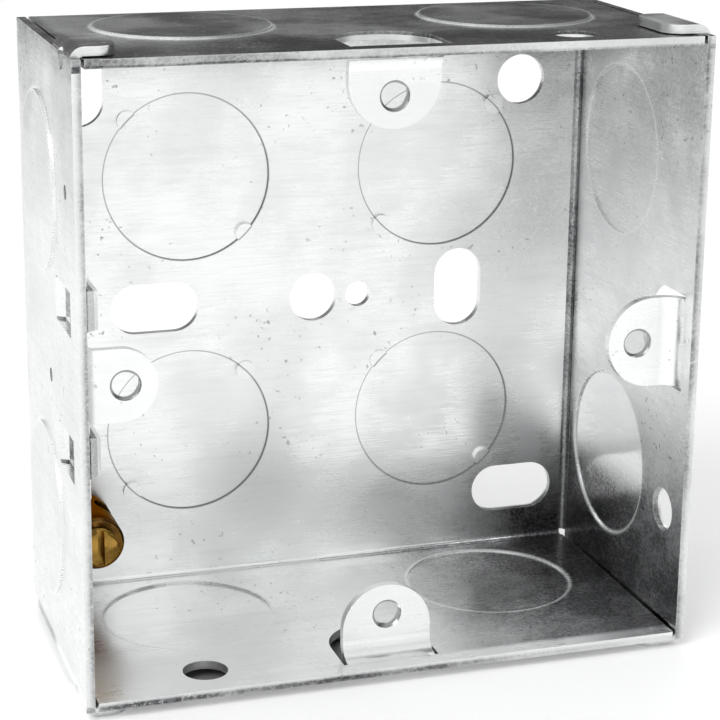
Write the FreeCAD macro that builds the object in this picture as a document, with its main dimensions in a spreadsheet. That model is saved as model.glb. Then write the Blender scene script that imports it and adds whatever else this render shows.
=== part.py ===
import FreeCAD, Part
import math
import os

import Sketcher

os.makedirs("parts", exist_ok=True)

# Flush back box for a wall: one folded steel sheet, an adjustable lug and an earth terminal.
# X runs right, Y runs into the wall and Z up, in millimetres.
# The origin is the centre of the back wall's outer face, so the rim lies at -depth.

doc = FreeCAD.newDocument("flush_back_box")
sheet = doc.addObject("Spreadsheet::Sheet", "sizes")

SIZES = {
    # folded sheet
    "face": 72.0,              # outside width and height of the square face
    "depth": 35.0,             # rim to the back wall's outer face
    "gauge": 1.0,              # thickness of the sheet
    "fold_radius": 0.6,        # inside radius of the folds at the back
    "seam": 0.35,              # gap where two walls meet at a corner
    # corner tabs of the side walls
    "tab_width": 9.6,
    "tab_reach": 5.2,          # outer face of the side wall to the tab's free end
    "tab_corner": 2.2,         # rounding of the free end's corners
    "tab_from_rim": 6.0,       # rim to the middle of the tab
    "tab_gap": 0.15,           # tab to the wall under it
    "dimple_radius": 2.6,      # punch that stiffens the tab's fold
    "dimple_sink": 0.45,       # how far the punch goes in
    # knockouts
    "knockout_radius": 10.25,
    "knockout_sink": 0.25,     # how far a disc is pushed out of the sheet
    "shear_gap": 0.075,        # a disc is this much smaller than its hole
    "back_knockout_offset": 16.0,
    "side_knockout_offset": 19.4,
    "side_knockout_from_back": 13.6,
    "nib_radius": 1.2,         # ties that still hold a disc
    "nib_height": 0.3,
    # fixing holes and slots
    "centre_hole_radius": 3.05,
    "pilot_radius": 1.6,
    "pilot_offset": 5.8,
    "slot_length": 11.0,
    "slot_width": 6.2,
    "left_slot_offset": 20.1,
    "right_slot_offset": 19.1,
    "right_slot_length": 10.0,
    "corner_slot_x": 27.3,
    "corner_slot_z": 27.7,
    "upper_slot_x": 29.0,
    "corner_hole_x": 26.9,
    "corner_hole_z": 26.2,
    "rim_hole_radius": 2.6,
    "rim_hole_offset": 21.3,
    "rim_hole_from_rim": 5.2,
    "side_hole_radius": 0.8,   # small holes of the left wall
    "side_hole_from_back": 18.3,
    "side_hole_drop": 2.0,     # below the middle of the wall
    # lugs
    "lug_pitch": 60.3,         # between the screw holes of opposite lugs
    "lug_from_rim": 4.0,       # rim to the lug's front face
    "lug_width": 10.6,
    "lug_tip": 3.6,            # screw hole to the lug's tip
    "lug_fold_radius": 2.0,
    "lug_relief": 0.45,        # gap round the lug's blank
    "screw_hole_radius": 1.75, # outer radius of the tapped thread
    # adjustable lug and the straps that hold it
    "slider_width": 8.3,
    "slider_fold_radius": 0.6,
    "slider_strip_width": 4.6,
    "slider_play": 0.12,
    "slider_travel": 1.8,      # each way from the middle
    "strap_width": 4.4,
    "strap_ramp": 1.6,
    "strap_slit": 0.3,
    "strip_end": 0.9,          # strip left beyond a strap at full travel
    # earth terminal
    "post_x": 29.75,
    "post_z": 25.7,
    "post_radius": 3.2,
    "post_height": 10.5,
    "post_neck_radius": 2.7,
    "post_neck_length": 1.6,
    "post_bevel": 0.3,
    "rivet_radius": 2.0,
    "rivet_clearance": 0.02,
    "wire_hole_radius": 1.7,
    "wire_hole_height": 4.6,   # back wall to the middle of the wire hole
    "clamp_radius": 2.2,
    "clamp_stand": 1.8,        # how far the clamping screw stands out at rest
    "clamp_lift": 0.1,         # its end to the edge of the wire hole at rest
    "clamp_clearance": 0.06,
    "clamp_bevel": 0.3,
    "driver_slot_width": 0.8,
    "driver_slot_depth": 1.1,
}

for row, (alias, value) in enumerate(SIZES.items(), start=1):
    sheet.set("A%d" % row, alias)
    sheet.set("B%d" % row, str(value))
    sheet.setAlias("B%d" % row, alias)
doc.recompute()

EIGHTH_TURN = 45.0
QUARTER_TURN = 90.0
FULL_TURN = 360.0
RIGHT_ANGLE = math.pi / 2


def value_of(expression):
    """Return the number that an expression of the sheet's sizes gives."""
    return float(sheet.evalExpression(expression))


def body(name):
    """Start a body that carries one piece."""
    result = doc.addObject("PartDesign::Body", name)
    result.Label = name
    return result


def origin_feature(owner, role):
    """Return the body's own origin plane or axis with this role."""
    return next(item for item in owner.Origin.OriginFeatures if item.Role == role)


def sketch(owner, name, plane, offset="0"):
    """Attach a sketch to an origin plane, moved along the plane's normal."""
    result = owner.newObject("Sketcher::SketchObject", name)
    result.AttachmentSupport = (origin_feature(owner, plane), [""])
    result.MapMode = "FlatFace"
    result.setExpression(".AttachmentOffset.Base.z", offset)
    return result


def bind(target, name, kind, place, expression):
    """Add one named dimension and tie it to the sheet."""
    number = value_of(expression)
    if kind in ("DistanceX", "DistanceY"):
        ends = (-1, 1) + place if number >= 0 else place + (-1, 1)
        expression = expression if number >= 0 else "-(%s)" % expression
        index = target.addConstraint(Sketcher.Constraint(kind, *ends, abs(number)))
    else:
        index = target.addConstraint(Sketcher.Constraint(kind, *place, number))
    target.renameConstraint(index, name)
    target.setExpression("Constraints." + name, expression)


def circle(target, name, across, up, radius):
    """Draw a circle whose centre and radius come from the sheet."""
    centre = FreeCAD.Vector(value_of(across), value_of(up), 0)
    shape = Part.Circle(centre, FreeCAD.Vector(0, 0, 1), value_of(radius))
    index = target.addGeometry(shape)
    bind(target, name + "_across", "DistanceX", (index, 3), across)
    bind(target, name + "_up", "DistanceY", (index, 3), up)
    bind(target, name + "_radius", "Radius", (index,), radius)


def outline(target, name, corners):
    """Draw a closed outline from (across, up[, fillet radius]) corners, each tied to the sheet."""
    points = [FreeCAD.Vector(value_of(c[0]), value_of(c[1]), 0) for c in corners]
    count = len(corners)
    starts, ends, arcs = list(points), list(points), [None] * count
    for i, corner in enumerate(corners):
        if len(corner) < 3:
            continue
        to_last = (points[i - 1] - points[i]).normalize()
        to_next = (points[(i + 1) % count] - points[i]).normalize()
        half = to_last.getAngle(to_next) / 2
        radius = value_of(corner[2])
        reach = radius / math.tan(half)
        ends[i] = points[i] + to_last * reach
        starts[i] = points[i] + to_next * reach
        centre = points[i] + (to_last + to_next).normalize() * (radius / math.sin(half))
        middle = centre + (points[i] - centre).normalize() * radius
        arcs[i] = Part.Arc(ends[i], middle, starts[i])
    lines = [
        target.addGeometry(Part.LineSegment(starts[i], ends[(i + 1) % count]))
        for i in range(count)
    ]
    for i, corner in enumerate(corners):
        before, after = lines[i - 1], lines[i]
        if arcs[i] is None:
            target.addConstraint(Sketcher.Constraint("Coincident", before, 2, after, 1))
            anchor = (after, 1)
        else:
            turn = target.addGeometry(arcs[i])
            first = target.getPoint(turn, 1)
            arc_starts_here = first.distanceToPoint(ends[i]) < first.distanceToPoint(starts[i])
            near, far = (1, 2) if arc_starts_here else (2, 1)
            target.addConstraint(Sketcher.Constraint("Tangent", before, 2, turn, near))
            target.addConstraint(Sketcher.Constraint("Tangent", turn, far, after, 1))
            vertex = target.addGeometry(Part.Point(points[i]), True)
            target.addConstraint(Sketcher.Constraint("PointOnObject", vertex, 1, before))
            target.addConstraint(Sketcher.Constraint("PointOnObject", vertex, 1, after))
            bind(target, "%s_%d_fillet" % (name, i), "Radius", (turn,), corner[2])
            anchor = (vertex, 1)
        bind(target, "%s_%d_across" % (name, i), "DistanceX", anchor, corner[0])
        bind(target, "%s_%d_up" % (name, i), "DistanceY", anchor, corner[1])


def rectangle(target, name, left, right, low, high):
    """Draw a rectangle between two sides and two ends."""
    outline(target, name, [(left, low), (right, low), (right, high), (left, high)])


def slot(target, name, across, up, length, width, lies):
    """Draw a round-ended slot that lies along the sketch's first axis or stands along its second."""
    run = "(%s - %s) / 2" % (length, width)
    half = "%s / 2" % width
    along, over = (across, up) if lies else (up, across)
    near = "%s - (%s)" % (along, run)
    far = "%s + (%s)" % (along, run)
    centres = [(near, over), (far, over)] if lies else [(over, near), (over, far)]
    radius = value_of(half)
    spots = [FreeCAD.Vector(value_of(c[0]), value_of(c[1]), 0) for c in centres]
    aim = 0 if lies else RIGHT_ANGLE
    ends = []
    for i, spot in enumerate(spots):
        middle = aim + (math.pi if i == 0 else 0)
        ring = Part.Circle(spot, FreeCAD.Vector(0, 0, 1), radius)
        ends.append(target.addGeometry(Part.ArcOfCircle(ring, middle - RIGHT_ANGLE, middle + RIGHT_ANGLE)))
    for first, second in ((0, 1), (1, 0)):
        start = target.getPoint(ends[first], 2)
        stop = target.getPoint(ends[second], 1)
        side = target.addGeometry(Part.LineSegment(start, stop))
        target.addConstraint(Sketcher.Constraint("Tangent", ends[first], 2, side, 1))
        target.addConstraint(Sketcher.Constraint("Tangent", side, 2, ends[second], 1))
    bind(target, name + "_radius", "Radius", (ends[0],), half)
    bind(target, name + "_near_across", "DistanceX", (ends[0], 3), centres[0][0])
    bind(target, name + "_near_up", "DistanceY", (ends[0], 3), centres[0][1])
    if lies:
        bind(target, name + "_far", "DistanceX", (ends[1], 3), far)
        target.addConstraint(Sketcher.Constraint("Horizontal", ends[0], 3, ends[1], 3))
    else:
        bind(target, name + "_far", "DistanceY", (ends[1], 3), far)
        target.addConstraint(Sketcher.Constraint("Vertical", ends[0], 3, ends[1], 3))


def tongue(target, name, root, tip, radius, middle, runs_across):
    """Draw a tongue with straight sides and a half-round tip, from its root line to its tip.

    The tongue runs along the sketch's first axis if runs_across, or else along its second.
    """
    sign = 1 if value_of(tip) > value_of(root) else -1
    centre_at = "%s %s %s" % (tip, "-" if sign > 0 else "+", radius)
    base, turn = value_of(root), value_of(centre_at)
    mid, size = value_of(middle), value_of(radius)

    def spot(along, over):
        return FreeCAD.Vector(along, over, 0) if runs_across else FreeCAD.Vector(over, along, 0)

    low, high = mid - size, mid + size
    tip_arc = Part.Arc(spot(turn, low), spot(turn + sign * size, mid), spot(turn, high))
    arc = target.addGeometry(tip_arc)
    at_low = 1 if target.getPoint(arc, 1).distanceToPoint(spot(turn, low)) < size else 2
    at_high = 3 - at_low
    first = target.addGeometry(Part.LineSegment(spot(base, low), spot(turn, low)))
    second = target.addGeometry(Part.LineSegment(spot(turn, high), spot(base, high)))
    close = target.addGeometry(Part.LineSegment(spot(base, high), spot(base, low)))
    for constraint in (
        ("Tangent", first, 2, arc, at_low),
        ("Tangent", arc, at_high, second, 1),
        ("Coincident", second, 2, close, 1),
        ("Coincident", close, 2, first, 1),
        ("Vertical" if runs_across else "Horizontal", close),
    ):
        target.addConstraint(Sketcher.Constraint(*constraint))
    along_kind, over_kind = ("DistanceX", "DistanceY") if runs_across else ("DistanceY", "DistanceX")
    bind(target, name + "_root", along_kind, (close, 1), root)
    bind(target, name + "_turn", along_kind, (arc, 3), centre_at)
    bind(target, name + "_middle", over_kind, (arc, 3), middle)
    bind(target, name + "_radius", "Radius", (arc,), radius)


def midplane(owner, kind, name, profile, length):
    """Pad or pocket a sketch by half the length to either side of it."""
    doc.recompute()
    feature = owner.newObject("PartDesign::" + kind, name)
    feature.Profile = profile
    feature.Midplane = True
    feature.setExpression("Length", length)
    profile.Visibility = False
    doc.recompute()
    return feature


def turned(owner, kind, name, profile, axis):
    """Revolve or groove a sketch a full turn about one of its own lines or an axis."""
    doc.recompute()
    feature = owner.newObject("PartDesign::" + kind, name)
    feature.Profile = profile
    feature.ReferenceAxis = axis
    feature.Angle = FULL_TURN
    doc.recompute()
    return feature


def around_depth(owner, name, originals, turn, count, backwards=False):
    """Repeat features about the axis that runs into the wall."""
    pattern = owner.newObject("PartDesign::PolarPattern", name)
    pattern.Originals = originals
    pattern.Axis = (origin_feature(owner, "Y_Axis"), [""])
    pattern.Angle = turn
    pattern.Occurrences = count
    pattern.Reversed = backwards
    owner.Tip = pattern
    doc.recompute()
    return pattern


def mirrored(owner, name, originals, plane):
    """Mirror features across one of the body's origin planes."""
    copy = owner.newObject("PartDesign::Mirrored", name)
    copy.Originals = originals
    copy.MirrorPlane = (origin_feature(owner, plane), [""])
    owner.Tip = copy
    doc.recompute()
    return copy


# Named places that several pieces share
HALF = "sizes.face / 2"
INSIDE = "(sizes.face / 2 - sizes.gauge)"
WALL_MIDDLE = "(sizes.face - sizes.gauge) / 2"
RIM = "(-sizes.depth)"
FOLD = "(sizes.fold_radius + sizes.gauge)"
FLANGE_FRONT = "(-sizes.depth + sizes.lug_from_rim)"
FLANGE_BACK = "(-sizes.depth + sizes.lug_from_rim + sizes.gauge)"
THROUGH = "4 * sizes.gauge"
LUG_THROUGH = "1.5 * sizes.gauge"
STRIP_FRONT = "(%s + sizes.slider_fold_radius)" % FLANGE_BACK
STRIP_BACK = "(%s + sizes.slider_strip_width)" % STRIP_FRONT
STRAP_INNER = "(sizes.slider_width / 2 + sizes.slider_travel + sizes.slider_play)"
POST_FRONT = "(-sizes.gauge - sizes.post_height)"
WIRE_HOLE_EDGE = "(-sizes.gauge - sizes.wire_hole_height - sizes.wire_hole_radius)"


def u_section(target):
    """Draw the sheet's section: one wall, the back and the opposite wall."""
    outline(target, "section", [
        ("-(%s)" % HALF, RIM),
        ("-" + INSIDE, RIM),
        ("-" + INSIDE, "-sizes.gauge", "sizes.fold_radius"),
        (INSIDE, "-sizes.gauge", "sizes.fold_radius"),
        (INSIDE, RIM),
        (HALF, RIM),
        (HALF, "0", FOLD),
        ("-(%s)" % HALF, "0", FOLD),
    ])


def fold_shell(shell):
    """Fold the back and four walls, open at the corner seams and relieved at the back corners."""
    sides = sketch(shell, "side_section", "XY_Plane")
    u_section(sides)
    flat = "sizes.face - 2 * %s" % FOLD
    midplane(shell, "Pad", "back_and_sides", sides, flat)
    ends = sketch(shell, "end_section", "YZ_Plane")
    outline(ends, "section", [
        (RIM, "-(%s)" % HALF),
        (RIM, "-" + INSIDE),
        ("-sizes.gauge", "-" + INSIDE, "sizes.fold_radius"),
        ("-sizes.gauge", INSIDE, "sizes.fold_radius"),
        (RIM, INSIDE),
        (RIM, HALF),
        ("0", HALF, FOLD),
        ("0", "-(%s)" % HALF, FOLD),
    ])
    midplane(shell, "Pad", "back_and_ends", ends, flat)
    fold_line = "(-%s)" % FOLD
    side = sketch(shell, "side_blank", "YZ_Plane", WALL_MIDDLE)
    rectangle(side, "side", RIM, fold_line, "-(%s)" % HALF, HALF)
    side_pad = midplane(shell, "Pad", "side_wall", side, "sizes.gauge")
    end = sketch(shell, "end_blank", "XY_Plane", WALL_MIDDLE)
    reach = "(%s - sizes.seam)" % INSIDE
    rectangle(end, "end", "-" + reach, reach, RIM, fold_line)
    end_pad = midplane(shell, "Pad", "end_wall", end, "sizes.gauge")
    around_depth(shell, "opposite_walls", [side_pad, end_pad], FULL_TURN, 2)


def cut_back_holes(shell):
    """Punch the centre hole, the pilot hole and the fixing slots of the back wall."""
    holes = sketch(shell, "back_holes", "XZ_Plane", "sizes.gauge / 2")
    circle(holes, "centre", "0", "0", "sizes.centre_hole_radius")
    circle(holes, "pilot", "sizes.pilot_offset", "0", "sizes.pilot_radius")
    circle(holes, "corner", "sizes.corner_hole_x", "sizes.corner_hole_z", "sizes.slot_width / 2")
    slot(holes, "left", "-sizes.left_slot_offset", "0", "sizes.slot_length", "sizes.slot_width", True)
    slot(holes, "right", "sizes.right_slot_offset", "0", "sizes.right_slot_length",
         "sizes.slot_width", False)
    slot(holes, "lower", "sizes.corner_slot_x", "-sizes.corner_slot_z", "sizes.slot_length",
         "sizes.slot_width", True)
    slot(holes, "upper", "-sizes.upper_slot_x", "sizes.corner_slot_z", "sizes.right_slot_length",
         "sizes.slot_width", False)
    circle(holes, "rivet", "-sizes.post_x", "-sizes.post_z",
           "sizes.rivet_radius + sizes.rivet_clearance")
    midplane(shell, "Pocket", "back_piercing", holes, THROUGH)


def add_knockouts(shell):
    """Half-shear the knockout discs out of the back and the walls, and leave their nibs."""
    offset = "sizes.back_knockout_offset"
    nib = "sizes.knockout_radius / sqrt(2)"
    centres = [(a + offset, b + offset) for a in ("-", "") for b in ("-", "")]
    sunk = sketch(shell, "back_discs_inside", "XZ_Plane", "sizes.gauge")
    proud = sketch(shell, "back_discs_outside", "XZ_Plane")
    ties = sketch(shell, "back_nibs", "XZ_Plane", "sizes.gauge")
    for i, (across, up) in enumerate(centres):
        circle(sunk, "disc_%d" % i, across, up, "sizes.knockout_radius")
        circle(proud, "disc_%d" % i, across, up, "sizes.knockout_radius - sizes.shear_gap")
        across_sign = "-" if across.startswith("-") else "+"
        up_sign = "-" if up.startswith("-") else "+"
        for side, flip in (("outer", {"+": "+", "-": "-"}), ("inner", {"+": "-", "-": "+"})):
            circle(ties, "%s_%d" % (side, i), "%s %s %s" % (across, flip[across_sign], nib),
                   "%s %s %s" % (up, flip[up_sign], nib), "sizes.nib_radius")
    midplane(shell, "Pocket", "back_knockouts_sunk", sunk, "2 * sizes.knockout_sink")
    midplane(shell, "Pad", "back_knockouts_proud", proud, "2 * sizes.knockout_sink")
    midplane(shell, "Pad", "back_knockout_nibs", ties, "2 * sizes.nib_height")


def add_wall_piercing(shell):
    """Pierce all four walls with two knockouts each, and all but the left with a rim hole."""
    mid = "-sizes.side_knockout_from_back"
    inner = sketch(shell, "wall_discs_inside", "YZ_Plane", INSIDE)
    outer = sketch(shell, "wall_discs_outside", "YZ_Plane", HALF)
    for name, up in (("high", "sizes.side_knockout_offset"), ("low", "-sizes.side_knockout_offset")):
        circle(inner, name, mid, up, "sizes.knockout_radius")
        circle(outer, name, mid, up, "sizes.knockout_radius - sizes.shear_gap")
    sunk = midplane(shell, "Pocket", "wall_knockouts_sunk", inner, "2 * sizes.knockout_sink")
    proud = midplane(shell, "Pad", "wall_knockouts_proud", outer, "2 * sizes.knockout_sink")
    hole = sketch(shell, "rim_hole", "YZ_Plane", WALL_MIDDLE)
    circle(hole, "rim", "-sizes.depth + sizes.rim_hole_from_rim", "-sizes.rim_hole_offset",
           "sizes.rim_hole_radius")
    rim_hole = midplane(shell, "Pocket", "rim_hole_punch", hole, THROUGH)
    around_depth(shell, "four_walls_pierced", [sunk, proud], FULL_TURN, 4)
    around_depth(shell, "top_rim_hole", [rim_hole], QUARTER_TURN, 2)
    around_depth(shell, "bottom_rim_hole", [rim_hole], QUARTER_TURN, 2, backwards=True)


def punch_side_holes(shell):
    """Punch the two small holes of the left wall, one of them near the rim."""
    holes = sketch(shell, "side_holes", "YZ_Plane", "-(%s)" % WALL_MIDDLE)
    circle(holes, "middle", "-sizes.side_hole_from_back", "-sizes.side_hole_drop",
           "sizes.side_hole_radius")
    circle(holes, "rim", "-sizes.depth + sizes.rim_hole_from_rim", "sizes.rim_hole_offset",
           "sizes.side_hole_radius")
    midplane(shell, "Pocket", "side_hole_punch", holes, THROUGH)


def add_fixed_lugs(shell):
    """Lance and fold a lug inwards from the right wall, and repeat it at the top and bottom."""
    fold_start = "(%s - sizes.lug_fold_radius)" % FLANGE_FRONT
    flat_edge = "(%s - sizes.lug_fold_radius)" % INSIDE
    tip = "(sizes.lug_pitch / 2 - sizes.lug_tip)"
    arc_length = "(sizes.lug_fold_radius + sizes.gauge / 2) * pi / 2"
    blank_end = "(%s + %s - %s + %s + sizes.lug_relief)" % (fold_start, flat_edge, tip, arc_length)
    opening = sketch(shell, "lug_opening", "YZ_Plane", WALL_MIDDLE)
    tongue(opening, "opening", fold_start, blank_end,
           "(sizes.lug_width / 2 + sizes.lug_relief)", "0", True)
    window = midplane(shell, "Pocket", "lug_lancing", opening, THROUGH)

    fold = sketch(shell, "lug_fold", "XY_Plane")
    outline(fold, "fold", [
        (HALF, "%s - sizes.gauge" % fold_start),
        (HALF, FLANGE_BACK, "sizes.lug_fold_radius + sizes.gauge"),
        ("%s - sizes.gauge" % flat_edge, FLANGE_BACK),
        ("%s - sizes.gauge" % flat_edge, FLANGE_FRONT),
        (INSIDE, FLANGE_FRONT, "sizes.lug_fold_radius"),
        (INSIDE, "%s - sizes.gauge" % fold_start),
    ])
    bend = midplane(shell, "Pad", "lug_bend", fold, "sizes.lug_width")
    face = sketch(shell, "lug_face", "XZ_Plane",
                  "sizes.depth - sizes.lug_from_rim - sizes.gauge / 2")
    tongue(face, "lug", flat_edge, tip, "sizes.lug_width / 2", "0", True)
    flange = midplane(shell, "Pad", "lug_flange", face, "sizes.gauge")
    bore = sketch(shell, "lug_bore", "XZ_Plane",
                  "sizes.depth - sizes.lug_from_rim - sizes.gauge / 2")
    circle(bore, "bore", "sizes.lug_pitch / 2", "0", "sizes.screw_hole_radius")
    tap = midplane(shell, "Pocket", "lug_tapping", bore, LUG_THROUGH)
    lug = [window, bend, flange, tap]
    around_depth(shell, "top_lug", lug, QUARTER_TURN, 2)
    around_depth(shell, "bottom_lug", lug, QUARTER_TURN, 2, backwards=True)


def add_corner_tabs(shell):
    """Fold the rounded tabs of the side walls over the ends of the top and bottom walls."""
    over = "(%s + sizes.tab_gap)" % HALF
    top = "(%s + sizes.gauge)" % over
    middle = "(-sizes.depth + sizes.tab_from_rim)"
    bend_end = "(%s - %s)" % (HALF, FOLD)
    tip = "(%s - sizes.tab_reach)" % HALF
    bend = sketch(shell, "tab_bend", "XZ_Plane", "sizes.depth - sizes.tab_from_rim")
    outline(bend, "bend", [
        (HALF, "%s - 2 * sizes.gauge" % HALF),
        (HALF, top, FOLD),
        ("%s - sizes.gauge / 2" % bend_end, top),
        ("%s - sizes.gauge / 2" % bend_end, over),
        (INSIDE, over, "sizes.fold_radius"),
        (INSIDE, "%s - 2 * sizes.gauge" % HALF),
    ])
    fold = midplane(shell, "Pad", "tab_fold", bend, "sizes.tab_width")
    flat = sketch(shell, "tab_blank", "XY_Plane", "%s + sizes.gauge / 2" % over)
    near = "(%s - sizes.tab_width / 2)" % middle
    far = "(%s + sizes.tab_width / 2)" % middle
    outline(flat, "tab", [
        (bend_end, near),
        (bend_end, far),
        (tip, far, "sizes.tab_corner"),
        (tip, near, "sizes.tab_corner"),
    ])
    tab = midplane(shell, "Pad", "tab_face", flat, "sizes.gauge")
    punch = sketch(shell, "tab_dimple", "XZ_Plane", "sizes.depth - sizes.tab_from_rim")
    reach = "(%s + sizes.dimple_radius - sizes.dimple_sink)" % HALF
    level = "(%s - %s)" % (top, FOLD)
    radius = value_of("sizes.dimple_radius")
    centre = FreeCAD.Vector(value_of(reach), value_of(level), 0)
    ring = Part.Circle(centre, FreeCAD.Vector(0, 0, 1), radius)
    arc = punch.addGeometry(Part.ArcOfCircle(ring, RIGHT_ANGLE, 3 * RIGHT_ANGLE))
    chord = punch.addGeometry(Part.LineSegment(punch.getPoint(arc, 2), punch.getPoint(arc, 1)))
    punch.addConstraint(Sketcher.Constraint("Coincident", arc, 2, chord, 1))
    punch.addConstraint(Sketcher.Constraint("Coincident", chord, 2, arc, 1))
    punch.addConstraint(Sketcher.Constraint("Vertical", chord))
    punch.addConstraint(Sketcher.Constraint("PointOnObject", arc, 3, chord))
    bind(punch, "dimple_across", "DistanceX", (arc, 3), reach)
    bind(punch, "dimple_up", "DistanceY", (arc, 3), level)
    bind(punch, "dimple_radius", "Radius", (arc,), "sizes.dimple_radius")
    dimple = turned(shell, "Groove", "tab_dimple_punch", punch, (punch, ["Edge2"]))
    tabs = [fold, tab, dimple]
    mirrored(shell, "lower_right_tab", tabs, "XY_Plane")
    mirrored(shell, "upper_left_tab", tabs, "YZ_Plane")
    around_depth(shell, "lower_left_tab", tabs, FULL_TURN, 2)


def add_straps(shell):
    """Lance two straps inwards from the left wall to hold the adjustable lug's strip."""
    slit_low = "(%s - sizes.strap_slit)" % STRAP_INNER
    slit_high = "(%s + sizes.strap_width + sizes.strap_slit)" % STRAP_INNER
    flat_start = "(%s - 2 * sizes.slider_play)" % STRIP_FRONT
    flat_end = "(%s + 2 * sizes.slider_play)" % STRIP_BACK
    start = "(%s - sizes.strap_ramp)" % flat_start
    end = "(%s + sizes.strap_ramp)" % flat_end
    opening = sketch(shell, "strap_window", "YZ_Plane", "-(%s)" % WALL_MIDDLE)
    rectangle(opening, "window", start, end, slit_low, slit_high)
    window = midplane(shell, "Pocket", "strap_lancing", opening, THROUGH)
    lifted_out = "(-%s + sizes.gauge + 2 * sizes.slider_play)" % INSIDE
    lifted_in = "(%s + sizes.gauge)" % lifted_out
    hat = sketch(shell, "strap_section", "XY_Plane", "%s + sizes.strap_width / 2" % STRAP_INNER)
    outline(hat, "strap", [
        ("-(%s)" % HALF, "%s - sizes.gauge / 2" % start),
        ("-(%s)" % HALF, start),
        (lifted_out, flat_start),
        (lifted_out, flat_end),
        ("-(%s)" % HALF, end),
        ("-(%s)" % HALF, "%s + sizes.gauge / 2" % end),
        ("-" + INSIDE, "%s + sizes.gauge / 2" % end),
        ("-" + INSIDE, end),
        (lifted_in, flat_end),
        (lifted_in, flat_start),
        ("-" + INSIDE, start),
        ("-" + INSIDE, "%s - sizes.gauge / 2" % start),
    ])
    strap = midplane(shell, "Pad", "strap", hat, "sizes.strap_width")
    mirrored(shell, "lower_strap", [window, strap], "XY_Plane")


def make_adjustable_lug():
    """Make the folded lug whose long strip slides up and down behind the two straps."""
    lug = body("adjustable_lug")
    strip_out = "(-%s + sizes.slider_play)" % INSIDE
    strip_in = "(%s + sizes.gauge)" % strip_out
    flat_edge = "(%s + sizes.slider_fold_radius)" % strip_in
    section = sketch(lug, "fold_section", "XY_Plane")
    outline(section, "fold", [
        (strip_out, STRIP_FRONT + " + sizes.gauge"),
        (strip_out, FLANGE_FRONT, "sizes.slider_fold_radius + sizes.gauge"),
        ("%s + sizes.gauge" % flat_edge, FLANGE_FRONT),
        ("%s + sizes.gauge" % flat_edge, FLANGE_BACK),
        (strip_in, FLANGE_BACK, "sizes.slider_fold_radius"),
        (strip_in, STRIP_FRONT + " + sizes.gauge"),
    ])
    midplane(lug, "Pad", "fold", section, "sizes.slider_width")
    face = sketch(lug, "face", "XZ_Plane", "sizes.depth - sizes.lug_from_rim - sizes.gauge / 2")
    tongue(face, "lug", flat_edge, "(-sizes.lug_pitch / 2 + sizes.lug_tip)",
           "sizes.slider_width / 2", "0", True)
    midplane(lug, "Pad", "flange", face, "sizes.gauge")
    blank = sketch(lug, "strip_blank", "YZ_Plane", "%s + sizes.gauge / 2" % strip_out)
    reach = "(%s + sizes.strap_width + sizes.slider_travel + sizes.strip_end)" % STRAP_INNER
    rectangle(blank, "strip", STRIP_FRONT, STRIP_BACK, "-" + reach, reach)
    midplane(lug, "Pad", "strip", blank, "sizes.gauge")
    bore = sketch(lug, "screw_hole", "XZ_Plane",
                  "sizes.depth - sizes.lug_from_rim - sizes.gauge / 2")
    circle(bore, "bore", "-sizes.lug_pitch / 2", "0", "sizes.screw_hole_radius")
    midplane(lug, "Pocket", "tapping", bore, LUG_THROUGH)
    return lug


def make_terminal_post():
    """Turn the brass post, drill it towards the box's middle for the wire and bore it for the screw."""
    post = body("earth_terminal_post")
    axis = "-sizes.post_x"
    shoulder = "(-sizes.gauge - sizes.rivet_clearance)"
    neck_end = "(%s - sizes.post_neck_length)" % shoulder
    profile = sketch(post, "turning", "XY_Plane", "-sizes.post_z")
    outline(profile, "post", [
        (axis, POST_FRONT),
        (axis, "-sizes.rivet_clearance"),
        ("%s + sizes.rivet_radius" % axis, "-sizes.rivet_clearance"),
        ("%s + sizes.rivet_radius" % axis, shoulder),
        ("%s + sizes.post_neck_radius" % axis, shoulder),
        ("%s + sizes.post_neck_radius" % axis, neck_end),
        ("%s + sizes.post_radius" % axis, neck_end),
        ("%s + sizes.post_radius" % axis, "%s + sizes.post_bevel" % POST_FRONT),
        ("%s + sizes.post_radius - sizes.post_bevel" % axis, POST_FRONT),
    ])
    turned(post, "Revolution", "turned_post", profile, (profile, ["Edge1"]))
    drill = sketch(post, "wire_hole", "YZ_Plane", axis)
    drill.setExpression(".AttachmentOffset.Base.y", "-sizes.post_z")
    drill.AttachmentOffset = FreeCAD.Placement(
        drill.AttachmentOffset.Base,
        FreeCAD.Rotation(FreeCAD.Vector(1, 0, 0), -EIGHTH_TURN))
    circle(drill, "wire", "-sizes.gauge - sizes.wire_hole_height", "0", "sizes.wire_hole_radius")
    midplane(post, "Pocket", "wire_drilling", drill, "3 * sizes.post_radius")
    bore = sketch(post, "clamp_bore", "XZ_Plane", "-" + POST_FRONT)
    circle(bore, "bore", axis, "-sizes.post_z", "sizes.clamp_radius + sizes.clamp_clearance")
    midplane(post, "Pocket", "boring", bore, "2 * (sizes.post_height - sizes.wire_hole_height)")
    return post


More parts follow.
